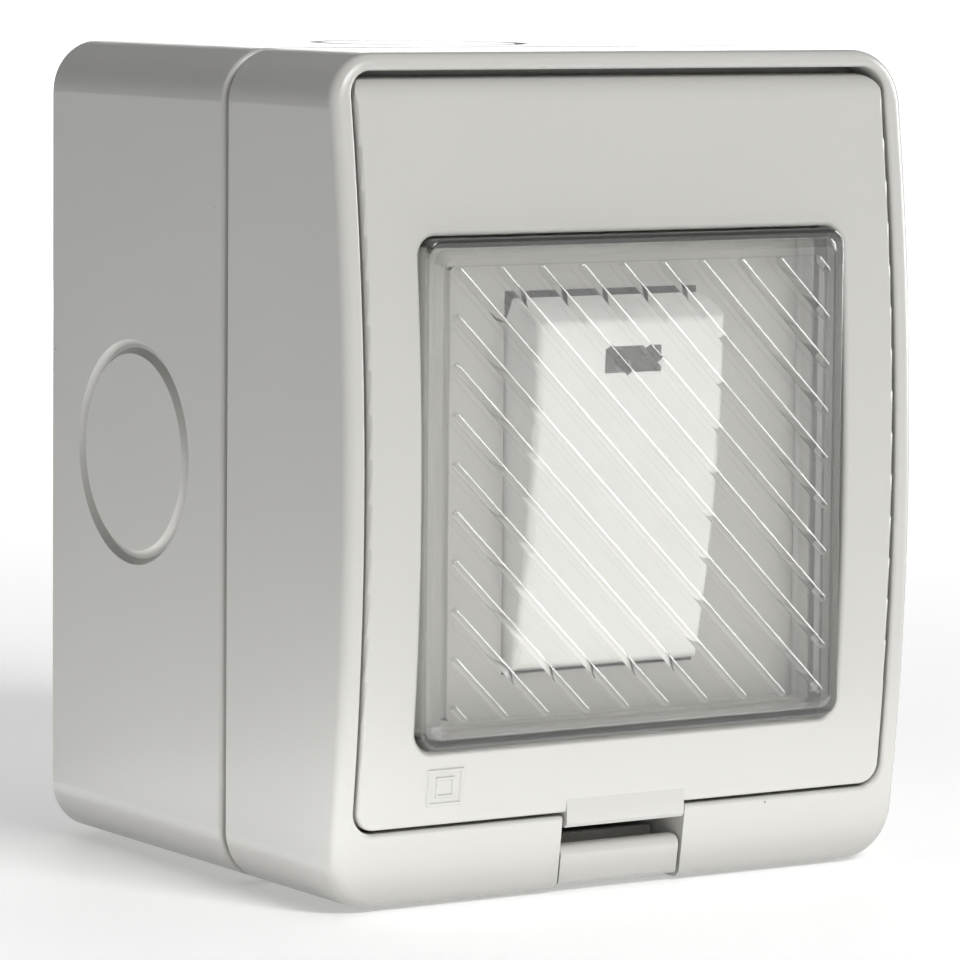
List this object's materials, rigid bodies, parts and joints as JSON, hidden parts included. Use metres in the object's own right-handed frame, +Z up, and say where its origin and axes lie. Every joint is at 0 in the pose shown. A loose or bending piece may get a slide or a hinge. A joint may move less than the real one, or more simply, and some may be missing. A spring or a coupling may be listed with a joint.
{
  "type": "outdoor weatherproof switch",
  "caption": "Surface-mounted weatherproof light switch: deep box, hinged lid with a clear ribbed press-through window and a press latch, over a tilting rocker with sprung contacts.",
  "frame": {"origin": "centre of the flat back face that lies on the wall", "axes": "+Z up the wall, +Y into the wall, +X to the right as seen from the front"},
  "size_m": [0.08, 0.0712, 0.098],
  "materials": {
    "housing_plastic": "smooth satin light grey",
    "lid_plastic": "smooth satin light grey",
    "clear_membrane": "clear soft plastic",
    "seal_foam": "closed-cell foam",
    "seal_rubber": "matt rubber",
    "zinc_steel": "zinc plated",
    "rocker_white": "smooth gloss white",
    "lens_grey": "smoked translucent grey",
    "base_plastic": "moulded insulating black",
    "nylon": "natural",
    "spring_steel": "drawn wire",
    "copper_strip": "rolled copper",
    "terminal_brass": "machined brass",
    "lamp_glass": "clear glass",
    "resistor_body": "lacquered"
  },
  "bodies": {
    "housing": {"back_box": "housing_plastic", "front_housing": "housing_plastic", "housing_seal": "seal_rubber", "housing_screws": "zinc_steel", "switch_base": "base_plastic", "module_screws": "zinc_steel", "common_terminal_left": "terminal_brass", "common_terminal_right": "terminal_brass", "load_terminal_left": "terminal_brass", "load_terminal_right": "terminal_brass", "terminal_screws": "zinc_steel", "neon_lamp": "lamp_glass", "neon_resistor": "resistor_body"},
    "lid": {"lid": "lid_plastic", "window_membrane": "clear_membrane", "window_clamp_frame": "housing_plastic", "lid_seal": "seal_foam"},
    "latch": {"lid_latch": "housing_plastic"},
    "rocker": {"rocker": "rocker_white", "indicator_lens": "lens_grey", "spring_left": "spring_steel", "spring_right": "spring_steel"},
    "plunger_left": {"plunger_left": "nylon"},
    "plunger_right": {"plunger_right": "nylon"},
    "contact_arm_left": {"contact_arm_left": "copper_strip"},
    "contact_arm_right": {"contact_arm_right": "copper_strip"}
  },
  "joints": [
    {"name": "lid_hinge", "type": "hinge", "parent": "housing", "child": "lid", "pos_m": [0, -0.06434, 0.0427], "axis": [-1, 0, 0], "range_deg": [0, 95]},
    {"name": "latch_press", "type": "hinge", "parent": "housing", "child": "latch", "pos_m": [0, -0.049, -0.0468], "axis": [1, 0, 0], "range_deg": [0, 2], "stiffness_Nm_per_rad": 0.2, "springref_deg": -5.73},
    {"name": "rocker_tilt", "type": "hinge", "parent": "housing", "child": "rocker", "pos_m": [0, -0.056, -0.0013], "axis": [1, 0, 0], "range_deg": [-14, 0]},
    {"name": "plunger_slide_left", "type": "slide", "parent": "rocker", "child": "plunger_left", "axis": [0, -0.9925, -0.1219], "range_m": [0, 0.001], "stiffness_N_per_m": 40, "springref_m": -0.002, "deforming": ["spring_left"]},
    {"name": "contact_rock_left", "type": "hinge", "parent": "housing", "child": "contact_arm_left", "pos_m": [-0.007, -0.0439, -0.0013], "axis": [1, 0, 0], "range_deg": [0, 13.5]},
    {"name": "plunger_slide_right", "type": "slide", "parent": "rocker", "child": "plunger_right", "axis": [0, -0.9925, -0.1219], "range_m": [0, 0.001], "stiffness_N_per_m": 40, "springref_m": -0.002, "deforming": ["spring_right"]},
    {"name": "contact_rock_right", "type": "hinge", "parent": "housing", "child": "contact_arm_right", "pos_m": [0.007, -0.0439, -0.0013], "axis": [1, 0, 0], "range_deg": [0, 13.5]}
  ],
  "couplings": [
    {"joint": "contact_rock_left", "follows": "rocker_tilt", "ratio": -0.85714},
    {"joint": "contact_rock_right", "follows": "rocker_tilt", "ratio": -0.85714}
  ]
}
